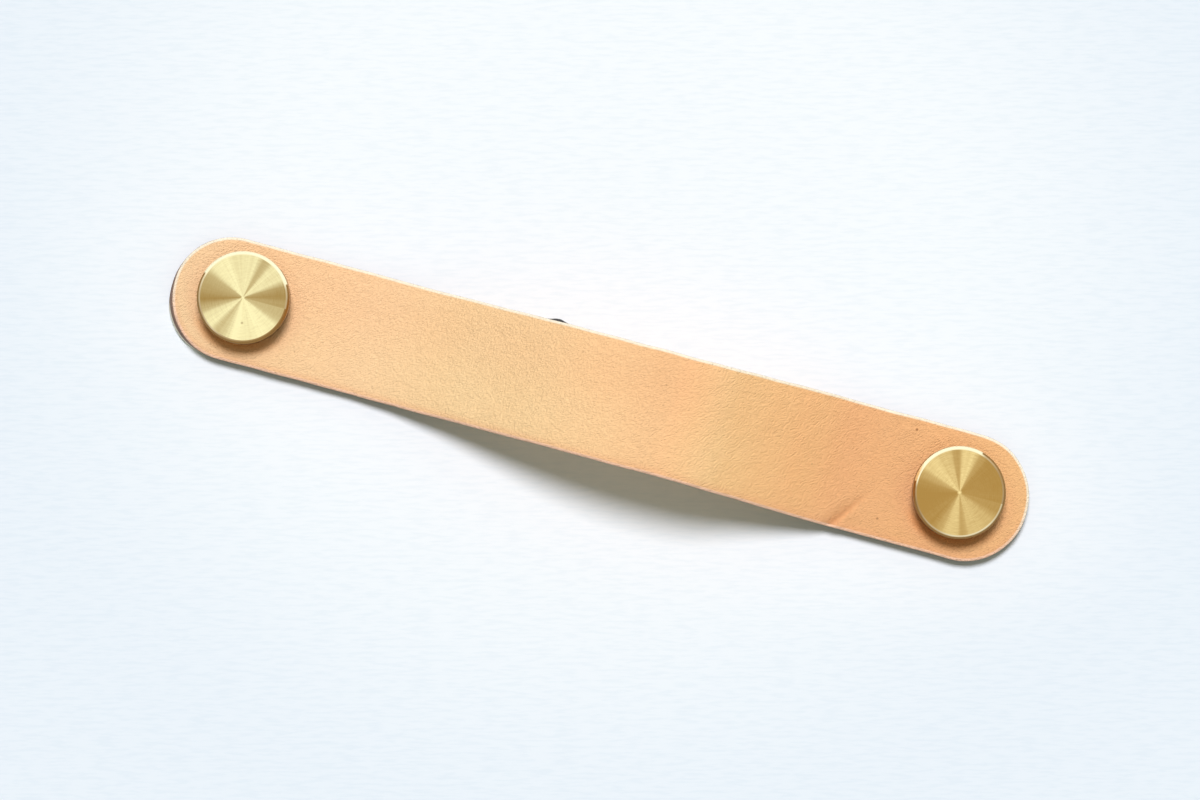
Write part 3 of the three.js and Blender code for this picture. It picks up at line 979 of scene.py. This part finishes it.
# Painted reflection fans of the faces and painted highlights of the chamfers, by clockwise degrees and
# brightness.
LEFT_REFLECTION_FANS = [
    (0, 0.1), (9, 0.2), (17, 0.38), (31, 0.42), (43, 0.88), (60, 1.0), (80, 0.88), (103, 1.0),
    (113, 0.82), (121, 0.5), (129, 0.46), (140, 0.85), (154, 0.8), (166, 0.32), (178, 0.06),
    (192, 0.2), (213, 0.32), (226, 0.85), (240, 0.96), (257, 0.82), (290, 0.84), (300, 0.34),
    (306, 0.38), (315, 0.82), (334, 0.8), (346, 0.2),
]
LEFT_CHAMFER_HIGHLIGHT = [
    (5, 0.3), (40, 0.0), (85, 0.05), (115, 0.2), (135, 0.5), (160, 0.3), (185, 0.35), (205, 0.6),
    (218, 1.0), (340, 1.0), (352, 0.4),
]
RIGHT_REFLECTION_FANS = [
    (0, 0.06), (26, 0.14), (44, 0.4), (60, 0.52), (77, 0.5), (83, 0.24), (88, 0.24), (94, 0.58),
    (110, 0.6), (122, 0.2), (135, 0.06), (175, 0.0), (195, 0.08), (208, 0.3), (220, 0.7),
    (232, 0.74), (246, 0.55), (257, 0.55), (263, 0.22), (269, 0.22), (277, 0.72), (290, 0.74),
    (302, 0.2), (315, 0.04), (340, 0.04),
]
RIGHT_CHAMFER_HIGHLIGHT = [
    (0, 0.15), (30, 0.5), (50, 0.75), (100, 0.7), (125, 0.35), (165, 0.1), (186, 0.2), (198, 1.0),
    (298, 1.0), (308, 0.3), (340, 0.1),
]

# Columns: side, x, face's painted reflection fans, chamfer's painted highlight, bright and dark
# painted reflection of the metal, how plain its rings are.
KNOBS = [  # side, x, face, chamfer, bright and dark metal, how plain its rings are
    ("left", -HOLE_X, LEFT_REFLECTION_FANS, LEFT_CHAMFER_HIGHLIGHT, "fff7c2", "a5864a", 0.4),
    ("right", HOLE_X, RIGHT_REFLECTION_FANS, RIGHT_CHAMFER_HIGHLIGHT, "fde6a4", "b18c4b", 0.9),
]

strap = make_strap([make_grain(), make_cut_edge(), make_flesh()])
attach(strap, "root")
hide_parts("leather_strap")
steel = make_steel()
for side, x, reflection_fans, rim, bright, dark, rings_seen in KNOBS:
    brass = make_brass(f"{side}_brass", x, stops_round(reflection_fans), stops_round(rim), bright, dark,
                       rings_seen)
    knob = make_knob(f"{side}_turned_knob", x, brass)
    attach(knob, "root")
    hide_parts(f"{side}_knob")
    screw = make_screw(f"{side}_threaded_screw", x, steel)
    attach(screw, "root")
    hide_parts(f"{side}_screw")


# Board, light and camera

def away_from(tree, place, centre, right, up):
    """How far a point lies from a centre, as a share of an ellipse whose half-axes are the vectors
    right and up."""
    offset = vector_of(tree, "SUBTRACT", {0: place, 1: centre})
    shares = [vector_of(tree, "DOT_PRODUCT", {0: offset, 1: axis / axis.length_squared}, "Value")
              for axis in (right, up)]
    return hypot_of(tree, *shares)


def make_board():
    """A plain pale board under the pull, with painted fall-off of light: a pool a little brighter
    close to it and a little darker and bluer farther away, with faint short streaks along the
    photograph's width.
    Seen from below it lets the eye through."""
    mesh = bpy.data.meshes.new("board")
    reach, below = 5.0, -3e-5
    corners = [(x * reach, y * reach, below) for x, y in ((-1, -1), (1, -1), (1, 1), (-1, 1))]
    mesh.from_pydata(corners, [], [(0, 1, 2, 3)])
    board = bpy.data.objects.new("board", mesh)
    bpy.context.scene.collection.objects.link(board)
    material, tree, shader = new_material("painted_board", "f4f8fb")
    mesh.materials.append(material)
    place = add(tree, "ShaderNodeTexCoord").outputs["Object"]
    # Painted fall-off of light: darker and bluer away from the pull, and a painted pool of light close
    # to it.
    room = away_from(tree, place, PHOTO_UP * 0.025, PHOTO_RIGHT * 0.103, PHOTO_UP * 0.091)
    base = mixed(tree, step_of(tree, room, 0.5, 1.15), colour("eaf1f3"), colour("dfe9ef"))
    light_pool = away_from(tree, place, Vector((0, 0, 0)), Vector((0.095, 0, 0)), Vector((0, 0.032, 0)))
    base = mixed(tree, step_of(tree, light_pool, 1.15, 0.5), base, colour("edf2f4"))
    turned = add(tree, "ShaderNodeMapping",
                 {"Vector": place, "Rotation": (0, 0, PHOTO_TURN), "Scale": (0.0042, 0.0006, 1.0)},
                 vector_type="TEXTURE").outputs[0]
    streaks = noise_of(tree, turned, 1.0, 2.0, 0.6)
    base = mixed(tree, step_of(tree, streaks, 0.6, 0.3), base, (0.95, 0.966, 0.976, 1.0), "MULTIPLY")
    feed(tree, shader, {"Base Color": base, "Roughness": 0.9, "Specular IOR Level": 0.1})
    through = add(tree, "ShaderNodeBsdfTransparent").outputs[0]
    under = times(tree, add(tree, "ShaderNodeNewGeometry").outputs["Backfacing"],
                  add(tree, "ShaderNodeLightPath").outputs["Is Camera Ray"])
    mix = add(tree, "ShaderNodeMixShader", {0: under, 1: shader.outputs[0], 2: through})
    tree.links.new(mix.outputs[0], tree.nodes["Material Output"].inputs["Surface"])
    return board


def make_light():
    """A broad lamp high on the photograph's upper side, as a sun a hand wide in the sky."""
    lamp = bpy.data.lights.new("window", "SUN")
    lamp.energy = 3.04
    lamp.angle = math.radians(17)
    lamp.color = (0.97, 0.936, 1.0)
    window = bpy.data.objects.new("window", lamp)
    height = math.radians(68.5)
    towards = PHOTO_UP * math.cos(height) + Vector((0, 0, 1)) * math.sin(height)
    window.rotation_euler = towards.to_track_quat("Z", "Y").to_euler()
    window.visible_glossy = False
    bpy.context.scene.collection.objects.link(window)


def make_sky():
    """The room: a warm fill, stronger from the right, white behind everything, and for
    reflections a bright ceiling, a brighter side towards the window and a dim one away from it."""
    world = bpy.data.worlds.new("room")
    bpy.context.scene.world = world
    world.use_nodes = True
    tree = world.node_tree
    place = add(tree, "ShaderNodeTexCoord").outputs["Generated"]

    def towards(direction):
        """How far the eye looks in a direction, from -1 to 1."""
        return vector_of(tree, "DOT_PRODUCT", {0: place, 1: direction}, "Value")

    fill = tree.nodes["Background"]
    even = math_of(tree, "MULTIPLY_ADD", towards(PHOTO_RIGHT), 0.45, 1.0)
    feed(tree, fill, {"Color": (0.982, 1.0, 0.811, 1.0), "Strength": times(tree, even, 0.281)})
    seen = add(tree, "ShaderNodeBackground", {"Color": colour("f8fafe"), "Strength": 1.0})
    side = math_of(tree, "MULTIPLY_ADD", step_of(tree, towards(PHOTO_UP), -0.2, 0.5), 0.6, 0.75)
    height = step_of(tree, parts_of(tree, place)["Z"], 0.35, 0.8)
    level = add(tree, "ShaderNodeMix", {0: height, 2: side, 3: 1.05}, data_type="FLOAT").outputs[0]
    mirrored = add(tree, "ShaderNodeBackground", {"Color": colour("fffdf8"), "Strength": level})
    path = add(tree, "ShaderNodeLightPath").outputs
    glossy = add(tree, "ShaderNodeMixShader",
                 {0: path["Is Glossy Ray"], 1: fill.outputs[0], 2: mirrored.outputs[0]})
    camera = add(tree, "ShaderNodeMixShader",
                 {0: path["Is Camera Ray"], 1: glossy.outputs[0], 2: seen.outputs[0]})
    tree.links.new(camera.outputs[0], tree.nodes["World Output"].inputs["Surface"])


def make_camera():
    """The photograph's view: nearly straight down, leaning 0.8 degrees back towards its lower side,
    with 206.8 mm across the frame at the knobs' faces."""
    lens = bpy.data.cameras.new("camera")
    distance, across, sensor = 1.2, 0.20679, 36.0
    lens.sensor_width = sensor
    lens.lens = sensor * distance / across
    lens.clip_start, lens.clip_end = 0.01, 50.0
    camera = bpy.data.objects.new("camera", lens)
    lean = math.radians(0.8)
    back = Vector((0, 0, 1)) * math.cos(lean) - PHOTO_UP * math.sin(lean)
    up = back.cross(PHOTO_RIGHT)
    aim = Vector((0.00003, -0.00089, 0.0085))
    camera.matrix_world = Matrix.Translation(aim + back * distance) @ Matrix(
        (PHOTO_RIGHT, up, back)).transposed().to_4x4()
    bpy.context.scene.collection.objects.link(camera)
    bpy.context.scene.camera = camera


make_board()
make_light()
make_sky()
make_camera()
bpy.context.scene.view_settings.view_transform = "Standard"
